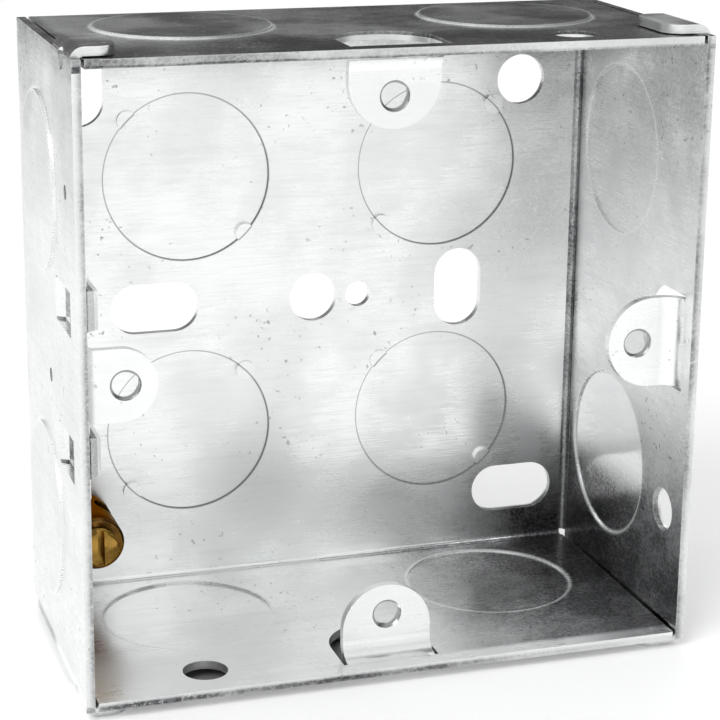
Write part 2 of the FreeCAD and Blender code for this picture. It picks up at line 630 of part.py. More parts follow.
def make_terminal_screw():
    """Turn the slotted screw that clamps the earth wire in the post."""
    screw = body("earth_terminal_screw")
    axis = "-sizes.post_x"
    front = "(%s - sizes.clamp_stand)" % POST_FRONT
    end = "(%s - sizes.clamp_lift)" % WIRE_HOLE_EDGE
    profile = sketch(screw, "turning", "XY_Plane", "-sizes.post_z")
    outline(profile, "screw", [
        (axis, front),
        (axis, end),
        ("%s + sizes.clamp_radius" % axis, end),
        ("%s + sizes.clamp_radius" % axis, "%s + sizes.clamp_bevel" % front),
        ("%s + sizes.clamp_radius - sizes.clamp_bevel" % axis, front),
    ])
    turned(screw, "Revolution", "turned_screw", profile, (profile, ["Edge1"]))
    groove = sketch(screw, "driver_slot", "XZ_Plane", "-" + front)
    rectangle(groove, "slot",
              "%s - sizes.driver_slot_width / 2" % axis,
              "%s + sizes.driver_slot_width / 2" % axis,
              "-sizes.post_z - 2 * sizes.clamp_radius",
              "-sizes.post_z + 2 * sizes.clamp_radius")
    midplane(screw, "Pocket", "slotting", groove, "2 * sizes.driver_slot_depth")
    return screw


box_shell = body("box_shell")
fold_shell(box_shell)
cut_back_holes(box_shell)
add_knockouts(box_shell)
add_wall_piercing(box_shell)
add_fixed_lugs(box_shell)
add_corner_tabs(box_shell)
add_straps(box_shell)
punch_side_holes(box_shell)
pieces = [box_shell, make_adjustable_lug(), make_terminal_post(), make_terminal_screw()]

doc.recompute()

for item in doc.Objects:
    if {"Invalid", "Error"} & set(item.State):
        raise RuntimeError("%s did not recompute" % item.Label)
for piece in pieces:
    shape = piece.Shape
    if shape.isNull() or not shape.isValid() or len(shape.Solids) != 1:
        raise RuntimeError("%s is not one sound solid" % piece.Label)
    shape.exportStep("parts/%s.step" % piece.Label)
    print("%-22s %9.1f mm3, %d faces" % (piece.Label, shape.Volume, len(shape.Faces)))
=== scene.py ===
"""Looks of the flush back box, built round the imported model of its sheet, lug, post and screw."""

import logging
import math
from collections.abc import Callable, Sequence
from dataclasses import dataclass, field, replace
from enum import Enum
from functools import partial, reduce

import bmesh
import bpy
from mathutils import Matrix, Vector


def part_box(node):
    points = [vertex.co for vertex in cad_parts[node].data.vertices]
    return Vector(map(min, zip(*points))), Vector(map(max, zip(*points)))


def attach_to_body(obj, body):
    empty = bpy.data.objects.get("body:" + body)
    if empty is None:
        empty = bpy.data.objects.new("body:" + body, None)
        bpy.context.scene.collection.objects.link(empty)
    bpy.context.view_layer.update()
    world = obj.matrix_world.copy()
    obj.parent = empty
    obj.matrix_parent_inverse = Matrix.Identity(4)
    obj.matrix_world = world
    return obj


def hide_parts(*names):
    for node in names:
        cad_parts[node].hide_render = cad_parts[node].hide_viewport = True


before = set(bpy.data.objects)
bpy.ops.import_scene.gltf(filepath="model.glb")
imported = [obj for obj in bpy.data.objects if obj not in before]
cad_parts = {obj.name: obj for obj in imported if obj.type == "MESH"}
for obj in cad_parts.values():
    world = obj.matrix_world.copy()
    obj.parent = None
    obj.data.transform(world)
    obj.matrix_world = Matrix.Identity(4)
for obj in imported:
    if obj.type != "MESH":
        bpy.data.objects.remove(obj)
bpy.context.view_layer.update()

MM = 0.001

log = logging.getLogger("flush back box")

Socket = bpy.types.NodeSocket
Shader = bpy.types.Node
Tree = bpy.types.NodeTree
Material = bpy.types.Material
Piece = bpy.types.Object
Shape = bmesh.types.BMesh
Colour = tuple[float, float, float]
Point = tuple[float, float, float]


class Body(Enum):
    """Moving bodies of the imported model."""

    BOX = "box"
    LUG = "adjustable_lug"
    SCREW = "earth_screw"


class Node(Enum):
    """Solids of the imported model."""

    SHELL = "box_shell"
    LUG = "adjustable_lug"
    POST = "earth_terminal_post"
    SCREW = "earth_terminal_screw"


class Slot(Enum):
    """Material slots of the record."""

    SHELL = "galvanised_shell"
    LUG = "galvanised_lug"
    POST = "brass_post"
    SCREW = "brass_screw"


class Graph:
    """Adds nodes to one shader tree and joins them."""

    def __init__(self, tree: Tree) -> None:
        """Keeps the tree and starts at its left edge."""
        self.tree = tree
        self.column = 0

    def add(self, kind: str, **settings: object) -> Shader:
        """Adds a node.

        Args:
            kind: Blender's identifier of the node.
            settings: attributes of the node, set before it is used.

        Returns:
            The new node.
        """
        node = self.tree.nodes.new(kind)
        node.location = (self.column * 40, -(self.column % 6) * 120)
        self.column += 1
        for name, value in settings.items():
            setattr(node, name, value)
        return node

    def feed(self, node: Shader, **inputs: object) -> Shader:
        """Sets or links a node's inputs; an underscore stands for a space in a socket's name.

        Args:
            node: the node to feed.
            inputs: sockets to link, or values to set.

        Returns:
            The same node.
        """
        for name, value in inputs.items():
            socket = node.inputs[name.replace("_", " ")]
            if isinstance(value, Socket):
                self.tree.links.new(value, socket)
            else:
                socket.default_value = value
        return node

    def join(self, value: object, socket: Socket) -> None:
        """Links an output, or sets a number, on an input."""
        if isinstance(value, Socket):
            self.tree.links.new(value, socket)
        else:
            socket.default_value = value

    def math(self, operation: str, first: object, second: object = 0.0, clamp: bool = False) -> Socket:
        """Adds a Math node.

        Args:
            operation: what the node works out.
            first: its first value.
            second: its second value.
            clamp: whether the result stays between 0 and 1.

        Returns:
            The node's result.
        """
        node = self.add("ShaderNodeMath", operation=operation, use_clamp=clamp)
        self.join(first, node.inputs[0])
        self.join(second, node.inputs[1])
        return node.outputs[0]

    def times(self, *values: object) -> Socket:
        """Multiplies any number of values."""
        return reduce(partial(self.math, "MULTIPLY"), values)

    def plus(self, *values: object) -> Socket:
        """Adds any number of values."""
        return reduce(partial(self.math, "ADD"), values)

    def most(self, *values: object) -> Socket:
        """Takes the greatest of any number of values."""
        return reduce(partial(self.math, "MAXIMUM"), values)

    def rest(self, value: object) -> Socket:
        """Takes a value from one."""
        return self.math("SUBTRACT", 1.0, value)

    def above(self, value: object, limit: float) -> Socket:
        """Masks where a value is above a limit."""
        return self.math("GREATER_THAN", value, limit)

    def below(self, value: object, limit: float) -> Socket:
        """Masks where a value is below a limit."""
        return self.math("LESS_THAN", value, limit)

    def within(self, value: object, low: float, high: float) -> Socket:
        """Masks where a value lies between two limits."""
        return self.times(self.above(value, low), self.below(value, high))

    def length(self, across: Socket, up: Socket) -> Socket:
        """Works out the length of a step across and up."""
        apart = self.vector(across, up)
        node = self.add("ShaderNodeVectorMath", operation="LENGTH")
        self.join(apart, node.inputs[0])
        return node.outputs["Value"]

    def vector(self, *values: object) -> Socket:
        """Makes a vector of up to three numbers."""
        node = self.add("ShaderNodeCombineXYZ")
        for value, socket in zip(values, node.inputs):
            self.join(value, socket)
        return node.outputs[0]

    def scaled(self, vector: Socket, scale: object) -> Socket:
        """Multiplies a vector by another, axis by axis.

        Args:
            vector: the vector.
            scale: three numbers or a vector output.

        Returns:
            The product.
        """
        node = self.add("ShaderNodeVectorMath", operation="MULTIPLY")
        self.join(vector, node.inputs[0])
        self.join(scale, node.inputs[1])
        return node.outputs[0]

    def noise(self, vector: Socket, scale: object, detail: float = 2.0, rough: float = 0.5) -> Socket:
        """Adds a noise texture.

        Args:
            vector: where to read it.
            scale: how fine it is.
            detail: how many layers it has.
            rough: how strong the finer layers are.

        Returns:
            The noise's value.
        """
        node = self.add("ShaderNodeTexNoise")
        self.feed(node, Vector=vector, Scale=scale, Detail=detail, Roughness=rough)
        return node.outputs[0]

    def ramp(self, value: Socket, low: float, high: float, from_value: float = 0.0,
             to_value: float = 1.0) -> Socket:
        """Maps a value's range softly onto another.

        Args:
            value: what to map.
            low: the value that gives from_value.
            high: the value that gives to_value.
            from_value: the result at low.
            to_value: the result at high.

        Returns:
            The mapped value.
        """
        node = self.add("ShaderNodeMapRange", interpolation_type="SMOOTHSTEP")
        self.join(value, node.inputs["Value"])
        for name, number in (("From Min", low), ("From Max", high), ("To Min", from_value), ("To Max", to_value)):
            node.inputs[name].default_value = number
        return node.outputs["Result"]

    def between(self, mask: object, first: object, second: object) -> Socket:
        """Mixes two numbers.

        Args:
            mask: how much of the second counts.
            first: the first number.
            second: the second number.

        Returns:
            The mixed number.
        """
        node = self.add("ShaderNodeMix", data_type="FLOAT")
        for value, socket in ((mask, node.inputs[0]), (first, node.inputs[2]), (second, node.inputs[3])):
            self.join(value, socket)
        return node.outputs[0]

    def blend(self, mask: object, first: object, second: object, mode: str = "MIX") -> Socket:
        """Mixes two colours.

        Args:
            mask: how much of the second shows.
            first: the first colour.
            second: the second colour.
            mode: how the second lies on the first.

        Returns:
            The mixed colour.
        """
        node = self.add("ShaderNodeMix", data_type="RGBA", blend_type=mode)
        self.join(mask, node.inputs[0])
        for value, socket in ((first, node.inputs[6]), (second, node.inputs[7])):
            self.join((*value, 1.0) if isinstance(value, tuple) else value, socket)
        return node.outputs[2]


@dataclass(frozen=True)
class Fade:
    """A soft change from one value to another between two places on an axis, in millimetres."""

    axis: str
    start: float
    end: float
    first: float = 0.0
    last: float = 1.0


@dataclass
class SheetPlaces:
    """Finds a point's place on the folded sheet, in millimetres, and the painted shade and even dulling laid there.

    Its masks are the dark lines round the back's discs, the painted highlights on the crowns round the walls'
    discs, on the back's nibs and along the lower fold, the frosted rings alone, the lug faces, the rim, the painted
    shade with an even dulling of the outer faces, and the polished disc.
    """

    graph: Graph
    given: Shader
    out: Shader
    wall: float = 34.6
    back_face: float = -2.0
    rim_face: float = -34.93
    lug_face: float = -29.8
    lug_reach: float = 34.0
    outside_back: float = -0.3
    outside_wall: float = 35.7
    outside_top: float = 35.6
    tab_face: float = 36.02
    tab_front: float = -24.0
    # Painted shade in the strap's recesses on the left wall.
    recess_x: tuple[float, float] = (-35.1, -33.2)
    recess_y: tuple[float, float] = (-31.4, -22.6)
    recess_z: tuple[float, float] = (5.7, 10.8)
    recess_painted_shade: float = 0.85
    # Painted highlight on the back's nibs; the fold fades below place a painted highlight band along the lower
    # fold.
    nib_painted_highlight: float = 0.6
    fold_near: Fade = Fade("from fold", -30.8, -32.0)
    fold_left: Fade = Fade("x", 14.0, 2.0)
    fold_top: float = -31.0
    fold_front: float = -5.0
    # Painted shade on the lower wall's inner face, dark on the right; its outside value is an even dulling.
    lower_right: Fade = Fade("x", -2.0, 20.0, 0.0, 0.78)
    lower_corner: Fade = Fade("x", 18.0, 32.0, 0.0, 0.34)
    lower_front: Fade = Fade("y", -33.6, -32.4)
    lower_outside: float = 0.20
    # Painted shade beside the left wall by the post.
    left_wall_shade_x: Fade = Fade("x", -31.8, -34.2, 0.0, 0.62)
    left_wall_shade_front: Fade = Fade("y", -19.0, -14.0)
    left_wall_shade_back: Fade = Fade("y", -3.0, -6.0)
    # Painted shade on the top wall's outer face.
    top_right: Fade = Fade("x", -34.0, 6.0, 0.48, 0.86)
    top_front: Fade = Fade("y", -22.0, -29.0, 0.0, 0.38)
    top_left: Fade = Fade("x", -33.0, -35.0, 0.0, 0.45)
    # Painted shade on the right wall's inner face, dark below; its outside value is an even dulling.
    right_low: Fade = Fade("z", -5.0, -29.0, 0.08, 1.10)
    right_high: Fade = Fade("z", 6.0, 30.0, 0.0, 0.46)
    right_deep: Fade = Fade("y", -14.0, -1.0)
    right_deep_low: Fade = Fade("z", -12.0, -32.0, 0.0, 0.4)
    right_outside: float = 0.14
    disc_edge: float = -0.3
    polish_high: Fade = Fade("z", -25.0, -18.5, 0.0, 0.9)
    # Painted shade on the left wall, darkest in its top corner.
    left_high: Fade = Fade("z", 14.0, 36.0, 0.17, 0.52)
    left_corner: Fade = Fade("z", 32.0, 35.8, 0.0, 0.36)
    # Painted shade on the back, dark in the lower right corner, under the top wall and in the right corner's fold;
    # its outside value is an even dulling.
    back_right: Fade = Fade("x", 12.0, 34.0)
    back_right_high: Fade = Fade("z", -2.0, 22.0, 0.04, 0.38)
    back_corner: Fade = Fade("x", 16.0, 31.0)
    back_corner_low: Fade = Fade("z", -21.0, -32.0, 0.0, 1.05)
    back_top: Fade = Fade("z", 26.0, 35.0, 0.0, 0.40)
    back_middle: Fade = Fade("z", -12.0, 4.0, 0.0, 0.07)
    back_outside: float = 0.12
    corner_fold: tuple[float, float] = (34.15, -1.75)
    corner_painted_shade: float = 0.85
    # The tabs take less painted shade than the top wall, a painted highlight, and the lower tabs more than the
    # upper.
    tab_low: Fade = Fade("z", -36.2, -37.0, 0.16, 0.42)
    # Painted shade on the rim's four sides; it also dims the rim's painted highlight.
    top_rim: Fade = Fade("x", -30.0, 26.0, 0.82, 0.36)
    top_rim_edge: Fade = Fade("z", 35.4, 35.0, 0.0, 0.45)
    low_rim: Fade = Fade("x", 4.0, 18.0, 1.0, 0.50)
    low_rim_edge: Fade = Fade("z", -35.1, -35.6, 0.42, 1.0)
    right_rim: Fade = Fade("x", 35.0, 35.9, 0.85, 0.50)
    left_rim: Fade = Fade("x", -35.9, -35.0, 0.30, 0.80)
    patch_scale: float = 75.0
    patch_break: tuple[float, float, float, float] = (0.30, 0.62, 0.74, 1.10)
    wave_scale: float = 110.0
    wave: tuple[float, float, float, float] = (0.30, 0.70, -0.7, 0.7)
    nib_edge: tuple[float, float] = (1.15, 0.75)
    at: dict[str, Socket] = field(init=False)
    polished: Socket = field(init=False)

    def __post_init__(self) -> None:
        """Reads the point's place and which wall it is on."""
        graph = self.graph
        self.place = graph.add("ShaderNodeTexCoord").outputs["Object"]
        axes = graph.add("ShaderNodeSeparateXYZ")
        graph.join(graph.scaled(self.place, (1 / MM, 1 / MM, 1 / MM)), axes.inputs[0])
        self.at = {name.lower(): axes.outputs[name] for name in "XYZ"}
        self.out_x, self.out_z = graph.math("ABSOLUTE", self.at["x"]), graph.math("ABSOLUTE", self.at["z"])
        self.back = graph.above(self.at["y"], self.back_face)
        self.right, self.left = graph.above(self.at["x"], self.wall), graph.below(self.at["x"], -self.wall)
        self.upper, self.lower = graph.above(self.at["z"], self.wall), graph.below(self.at["z"], -self.wall)

    def build(self) -> None:
        """Joins the masks to the group's outputs."""
        graph = self.graph
        self._join_outlines()
        clear = graph.times(graph.below(self.out_x, self.lug_reach), graph.below(self.out_z, self.lug_reach))
        graph.join(graph.times(graph.below(self.at["y"], self.lug_face), clear), self.out.inputs["Lugs"])
        rims = graph.below(self.at["y"], self.rim_face)
        graph.join(rims, self.out.inputs["Rims"])
        broken = graph.ramp(graph.noise(self.place, self.patch_scale, 3.0, 0.65), *self.patch_break)
        # Painted shade on the walls and the rim, with an even dulling of some outer faces, broken up by patches.
        dull_and_painted_shade = graph.math("MULTIPLY", graph.between(rims, self._walls(), self._rim_painted_shade()), broken, True)
        graph.join(dull_and_painted_shade, self.out.inputs["Dulling And Painted Shade"])

    def _fade(self, fade: Fade) -> Socket:
        """Adds a fade along one of the axes."""
        return self.graph.ramp(self.at[fade.axis], fade.start, fade.end, fade.first, fade.last)

    def _join_outlines(self) -> None:
        """Joins the masks of the discs' outlines, the nibs, the lower fold and the polished disc."""
        graph, out = self.graph, self.out
        ends, sides = graph.above(self.out_z, self.wall), graph.above(self.out_x, self.wall)
        back_ring = self._ring((self.out_x, "Back Offset"), (self.out_z, "Back Offset"))
        end_ring = self._ring((self.out_x, "Wall Offset"), (self.at["y"], "Wall Depth"))
        side_ring = self._ring((self.out_z, "Wall Offset"), (self.at["y"], "Wall Depth"))
        wall_ring = graph.between(ends, side_ring, end_ring)
        ring = graph.math("ABSOLUTE", graph.between(self.back, wall_ring, back_ring))
        graph.join(graph.times(self._line(ring, "Line Width"), self.back), out.inputs["Lines"])
        walls = graph.times(graph.most(ends, sides), graph.rest(self.back))
        frost = graph.times(self._line(ring, "Crown Width"), walls)
        graph.join(frost, out.inputs["Frost"])
        # Painted highlights: the crowns round the walls' discs, the back's nibs and the lower fold.
        nibs = graph.times(self._nibs(), self.back, self.nib_painted_highlight)
        graph.join(graph.most(frost, nibs, self._lower_fold()), out.inputs["Painted Highlights"])
        disc = graph.times(graph.below(side_ring, self.disc_edge), self.right, graph.below(self.at["z"], 0.0))
        self.polished = graph.times(self._fade(self.polish_high), disc)
        graph.join(self.polished, out.inputs["Polish"])

    def _ring(self, across: tuple[Socket, str], up: tuple[Socket, str]) -> Socket:
        """Works out how far a point lies outside the edge of the nearest disc.

        Args:
            across: the point's place on one axis, and the input that gives the disc's centre there.
            up: the same on the other axis.

        Returns:
            The distance, negative on the disc.
        """
        graph = self.graph
        steps = [graph.math("SUBTRACT", value, self.given.outputs[label]) for value, label in (across, up)]
        return graph.math("SUBTRACT", graph.length(*steps), self.given.outputs["Disc Radius"])

    def _line(self, ring: Socket, width: str) -> Socket:
        """Masks a line of a given width along a disc's edge.

        Args:
            ring: how far the point lies from the edge.
            width: the input that gives the line's width.

        Returns:
            The mask, strongest on the edge.
        """
        away = self.graph.math("DIVIDE", ring, self.given.outputs[width], True)
        return self.graph.math("SUBTRACT", 1.0, away, True)

    def _nibs(self) -> Socket:
        """Masks the two round nibs that still tie each disc of the back.

        Returns:
            The mask, strongest at each nib's middle.
        """
        graph, given = self.graph, self.given
        offset = given.outputs["Back Offset"]
        steps = [graph.math("SUBTRACT", value, offset) for value in (self.out_x, self.out_z)]
        lengths = [graph.math("ABSOLUTE", step) for step in steps]
        apart = [graph.math("SUBTRACT", length, given.outputs["Nib Offset"]) for length in lengths]
        share = graph.math("DIVIDE", graph.length(*apart), given.outputs["Nib Radius"])
        return graph.times(graph.ramp(share, *self.nib_edge), graph.above(graph.times(*steps), 0.0))

    def _lower_fold(self) -> Socket:
        """Masks the painted highlight, a wavy band along the left of the fold between the back and the lower wall.

        Returns:
            The mask.
        """
        graph = self.graph
        wavy = graph.ramp(graph.noise(self.place, self.wave_scale, 0.0), *self.wave)
        self.at["from fold"] = graph.plus(graph.math("SUBTRACT", self.at["z"], self.at["y"]), wavy)
        near = graph.times(graph.below(self.at["z"], self.fold_top), graph.above(self.at["y"], self.fold_front))
        return graph.times(self._fade(self.fold_near), self._fade(self.fold_left), near)

    def _walls(self) -> Socket:
        """Works out the painted shade and dulling on the walls, the tabs and the strap's recesses.

        Returns:
            The painted shade and dulling.
        """
        graph = self.graph
        sides = graph.most(graph.times(self.right, self._right_wall()), graph.times(self.left, self._left_wall()))
        inner = graph.between(self.back, sides, self._back_wall())
        inner = graph.between(self.lower, graph.most(inner, self._top_wall()), self._lower_wall())
        # The tabs get their own lighter tone, a painted highlight, darker on the lower tabs.
        tabs = graph.times(graph.above(self.out_z, self.tab_face), graph.below(self.at["y"], self.tab_front))
        inner = graph.between(tabs, inner, self._fade(self.tab_low))
        # Painted shade in the strap's recesses.
        recess = graph.times(
            graph.within(self.at["x"], *self.recess_x), graph.within(self.at["y"], *self.recess_y),
            graph.within(self.out_z, *self.recess_z))
        return graph.between(recess, inner, self.recess_painted_shade)

    def _lower_wall(self) -> Socket:
        """Works out the painted shade on the lower wall's inner face: dark on the right and beside the left wall by
        the post, with an even dulling on its outer face.
        """
        graph = self.graph
        right = graph.plus(self._fade(self.lower_right), self._fade(self.lower_corner))
        inside = graph.times(right, self._fade(self.lower_front))
        shade_by_left_wall = graph.times(*map(self._fade, (self.left_wall_shade_x, self.left_wall_shade_front, self.left_wall_shade_back)))
        inner = graph.above(self.at["z"], -self.outside_wall)
        return graph.between(inner, self.lower_outside, graph.most(inside, shade_by_left_wall))

    def _top_wall(self) -> Socket:
        """Works out the painted shade on the top wall's outer face."""
        graph = self.graph
        outside = graph.plus(self._fade(self.top_right), self._fade(self.top_front), self._fade(self.top_left))
        return graph.times(graph.above(self.at["z"], self.outside_top), outside)

    def _right_wall(self) -> Socket:
        """Works out the painted shade on the right wall's inner face, dark below except on its polished disc, and
        an even dulling on its outer face.
        """
        graph = self.graph
        deep = graph.times(self._fade(self.right_deep), self._fade(self.right_deep_low))
        inside = graph.plus(self._fade(self.right_low), self._fade(self.right_high), deep)
        inside = graph.times(inside, graph.rest(self.polished))
        return graph.between(graph.below(self.at["x"], self.outside_wall), self.right_outside, inside)

    def _left_wall(self) -> Socket:
        """Works out the painted shade on the left wall, most of all in its top corner."""
        return self.graph.plus(self._fade(self.left_high), self._fade(self.left_corner))

    def _back_wall(self) -> Socket:
        """Works out the painted shade on the back: dark in the lower right corner and its fold, and under the top
        wall, with an even dulling on its outer face.
        """
        graph = self.graph
        inside = graph.plus(
            graph.times(self._fade(self.back_right), self._fade(self.back_right_high)),
            graph.times(self._fade(self.back_corner), self._fade(self.back_corner_low)),
            self._fade(self.back_top), self._fade(self.back_middle))
        fold_x, fold_y = self.corner_fold
        fold = graph.times(graph.above(self.at["x"], fold_x), graph.above(self.at["y"], fold_y))
        inside = graph.between(fold, inside, self.corner_painted_shade)
        return graph.between(graph.below(self.at["y"], self.outside_back), self.back_outside, inside)

    def _rim_painted_shade(self) -> Socket:
        """Works out the painted shade on the rim's four sides."""
        graph = self.graph
        return graph.most(
            graph.times(self.upper, graph.plus(self._fade(self.top_rim), self._fade(self.top_rim_edge))),
            graph.times(self.lower, self._fade(self.low_rim), self._fade(self.low_rim_edge)),
            graph.times(self.right, self._fade(self.right_rim)),
            graph.times(self.left, self._fade(self.left_rim)))


class Effects:
    """Shader groups that several finishes share, each built once."""

    def __init__(self) -> None:
        """Starts with no group."""
        self.groups: dict[str, Tree] = {}

    def place(self, graph: Graph, name: str, **inputs: object) -> Shader:
        """Puts a shared effect in a material.

        Args:
            graph: the material's graph.
            name: which effect.
            inputs: the values that this material gives it.

        Returns:
            The group's node in the material.
        """
        makers: dict[str, Callable[[], Tree]] = {
            "rolled streaks": self._rolled_streaks,
            "zinc bloom": self._zinc_bloom,
            "handling marks": self._handling_marks,
            "sheet places": self._sheet_places,
            "turned rings": self._turned_rings,
            "soft edges": self._soft_edges,
        }
        if name not in self.groups:
            self.groups[name] = makers[name]()
        node = graph.add("ShaderNodeGroup")
        node.node_tree = self.groups[name]
        return graph.feed(node, **inputs)

    def _start(self, name: str, numbers: dict[str, float], outputs: Sequence[str]) -> tuple[Graph, Shader, Shader]:
        """Makes an empty group.

        Args:
            name: the group's name.
            numbers: its number inputs and what they are at first.
            outputs: its number outputs.

        Returns:
            The group's graph, its input node and its output node.
        """
        tree = bpy.data.node_groups.new(name, "ShaderNodeTree")
        for label, value in numbers.items():
            socket = tree.interface.new_socket(label, in_out="INPUT", socket_type="NodeSocketFloat")
            socket.default_value = value
        for label in outputs:
            tree.interface.new_socket(label, in_out="OUTPUT", socket_type="NodeSocketFloat")
        graph = Graph(tree)
        return graph, graph.add("NodeGroupInput"), graph.add("NodeGroupOutput")

    def _rolled_streaks(self) -> Tree:
        """Builds the fine lines that rolling leaves along the sheet, which follow it round its folds.

        Returns:
            The group.
        """
        graph, given, out = self._start(
            "rolled streaks", {"Fineness": 5200.0, "Length": 0.05}, ("Streaks", "Bands"))
        place = graph.add("ShaderNodeTexCoord")
        facing = graph.add("ShaderNodeSeparateXYZ")
        graph.join(place.outputs["Normal"], facing.inputs[0])
        side = graph.ramp(graph.math("ABSOLUTE", facing.outputs["X"]), 0.6, 0.8)
        across = given.outputs["Fineness"]
        along = graph.math("MULTIPLY", across, given.outputs["Length"])
        results = []
        for share in (1.0, 0.16):
            fine, long = graph.math("MULTIPLY", across, share), graph.math("MULTIPLY", along, share)
            scale = graph.vector(graph.between(side, long, fine), graph.between(side, fine, long), fine)
            results.append(graph.noise(graph.scaled(place.outputs["Object"], scale), 1.0, 1.0, 0.7))
        graph.join(results[0], out.inputs["Streaks"])
        graph.join(results[1], out.inputs["Bands"])
        return graph.tree

    def _zinc_bloom(self) -> Tree:
        """Builds the cloudy patches of a zinc coat and the dark specks in it.

        Returns:
            The group.
        """
        graph, given, out = self._start(
            "zinc bloom", {"Patch Size": 60.0, "Speck Size": 1300.0}, ("Patches", "Specks", "Grain"))
        place = graph.add("ShaderNodeTexCoord").outputs["Object"]
        broad = graph.noise(place, given.outputs["Patch Size"], 3.0, 0.62)
        graph.join(graph.ramp(broad, 0.32, 0.64), out.inputs["Patches"])
        specks = graph.noise(place, given.outputs["Speck Size"], 1.0, 0.7)
        where = graph.ramp(graph.noise(place, 90.0, 0.0), 0.42, 0.62)
        graph.join(graph.math("MULTIPLY", graph.ramp(specks, 0.69, 0.76), where), out.inputs["Specks"])
        grain_size = graph.math("MULTIPLY", given.outputs["Speck Size"], 2.1)
        graph.join(graph.noise(place, grain_size, 1.0, 0.7), out.inputs["Grain"])
        return graph.tree

    def _handling_marks(self) -> Tree:
        """Builds the short thin scratches and the grey rubs that handling leaves.

        Returns:
            The group.
        """
        graph, given, out = self._start(
            "handling marks", {"Length Scale": 90.0, "Width Scale": 3200.0}, ("Scratches", "Rubs"))
        place = graph.add("ShaderNodeTexCoord").outputs["Object"]
        scale = graph.vector(*(given.outputs[label] for label in ("Length Scale", "Width Scale", "Width Scale")))
        lines = []
        for turn in ((0.2, 0.35, 0.3), (-0.3, 1.25, 1.9), (0.6, -0.5, -1.1)):
            aim = graph.add("ShaderNodeVectorRotate", rotation_type="EULER_XYZ")
            graph.feed(aim, Vector=place, Rotation=turn)
            reading = graph.noise(graph.scaled(aim.outputs[0], scale), 1.0, 0.0)
            lines.append(graph.ramp(reading, 0.73, 0.78))
        where = graph.ramp(graph.noise(place, 70.0, 0.0), 0.45, 0.6)
        graph.join(graph.times(graph.most(*lines), where), out.inputs["Scratches"])
        graph.join(graph.ramp(graph.noise(place, 38.0, 3.0, 0.7), 0.5, 0.72), out.inputs["Rubs"])
        return graph.tree

    def _sheet_places(self) -> Tree:
        """Builds the masks that follow the folded sheet's own places.

        Returns:
            The group.
        """
        graph, given, out = self._start(
            "sheet places",
            {"Disc Radius": 10.25, "Back Offset": 16.0, "Wall Offset": 19.4, "Wall Depth": -13.6,
             "Line Width": 0.15, "Crown Width": 0.45, "Nib Offset": 7.25, "Nib Radius": 1.2},
            ("Lines", "Painted Highlights", "Frost", "Lugs", "Rims", "Dulling And Painted Shade", "Polish"))
        SheetPlaces(graph, given, out).build()
        return graph.tree

    def _turned_rings(self) -> Tree:
        """Builds the close rings that a lathe leaves, with the scale on each axis given by the material.

        Returns:
            The group.
        """
        graph, given, out = self._start(
            "turned rings", {"X Scale": 300.0, "Y Scale": 9000.0, "Z Scale": 300.0}, ("Rings", "Tarnish"))
        place = graph.add("ShaderNodeTexCoord").outputs["Object"]
        scale = graph.vector(*(given.outputs[label] for label in ("X Scale", "Y Scale", "Z Scale")))
        graph.join(graph.noise(graph.scaled(place, scale), 1.0, 2.0, 0.6), out.inputs["Rings"])
        graph.join(graph.ramp(graph.noise(place, 420.0, 5.0, 0.65), 0.42, 0.7), out.inputs["Tarnish"])
        return graph.tree

    def _soft_edges(self) -> Tree:
        """Builds a mask of the edges that handling keeps bright.

        Returns:
            The group.
        """
        graph, given, out = self._start("soft edges", {"Radius": 0.0003, "Breaks": 500.0}, ("Edges",))
        rounded = graph.add("ShaderNodeBevel", samples=2)
        graph.feed(rounded, Radius=given.outputs["Radius"])
        flat = graph.add("ShaderNodeNewGeometry")
        both = graph.add("ShaderNodeVectorMath", operation="DOT_PRODUCT")
        graph.join(rounded.outputs[0], both.inputs[0])
        graph.join(flat.outputs["Normal"], both.inputs[1])
        bend = graph.ramp(graph.math("SUBTRACT", 1.0, both.outputs["Value"]), 0.02, 0.22)
        place = graph.add("ShaderNodeTexCoord").outputs["Object"]
        broken = graph.ramp(graph.noise(place, given.outputs["Breaks"], 1.0), 0.3, 0.6, 0.45, 1.0)
        graph.join(graph.math("MULTIPLY", bend, broken, True), out.inputs["Edges"])
        return graph.tree


def new_material(name: str) -> tuple[Material, Graph, Shader]:
    """Makes a material with only its output and its surface shader.

    Args:
        name: the material's name.

    Returns:
        The material, its graph and its Principled shader.
    """
    material = bpy.data.materials.new(name)
    material.use_nodes = True
    material.node_tree.nodes.clear()
    graph = Graph(material.node_tree)
    surface = graph.add("ShaderNodeBsdfPrincipled")
    output = graph.add("ShaderNodeOutputMaterial")
    graph.join(surface.outputs[0], output.inputs["Surface"])
    return material, graph, surface


